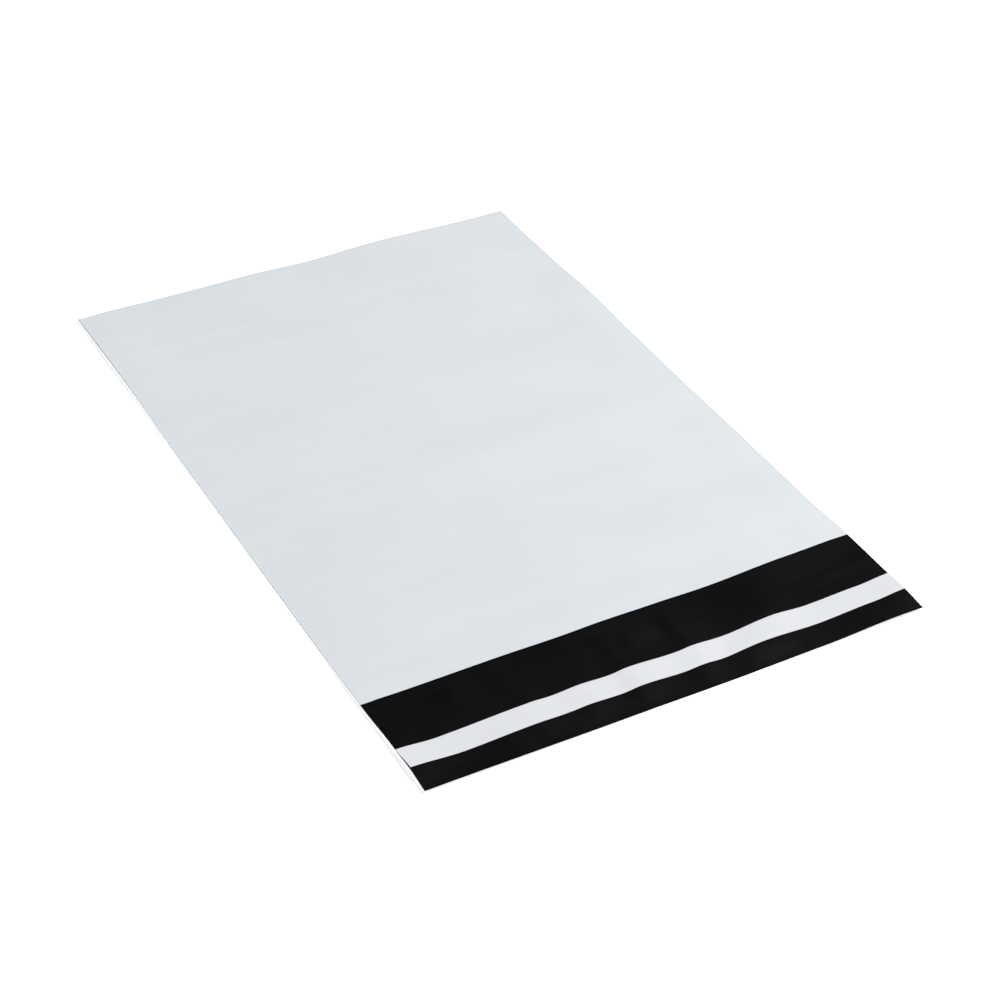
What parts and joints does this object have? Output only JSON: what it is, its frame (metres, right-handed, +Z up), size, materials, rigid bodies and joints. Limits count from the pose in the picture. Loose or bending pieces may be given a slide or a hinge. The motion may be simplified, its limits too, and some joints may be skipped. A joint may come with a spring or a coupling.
{
  "type": "poly mailer bag",
  "caption": "Flat empty mailing bag of welded plastic film, pale outside and black inside, open at one end, with a lip that carries an adhesive strip under a peel-off liner.",
  "frame": {"origin": "under the middle of the bag, on the surface that its back panel lies on", "axes": "+Y from the free end of the lip to the bottom fold, +X across the bag to its right as seen from the lip with the front panel up, +Z up"},
  "size_m": [0.229, 0.358, 0.0027],
  "materials": {
    "film": "satin polyethylene film, pale grey-white outside, black inside",
    "adhesive": "clear to straw-coloured hot-melt adhesive",
    "liner": "smooth white release film"
  },
  "bodies": {
    "root": {"film_bag": "film", "adhesive_strip": "adhesive", "release_liner": "liner"}
  },
  "joints": []
}
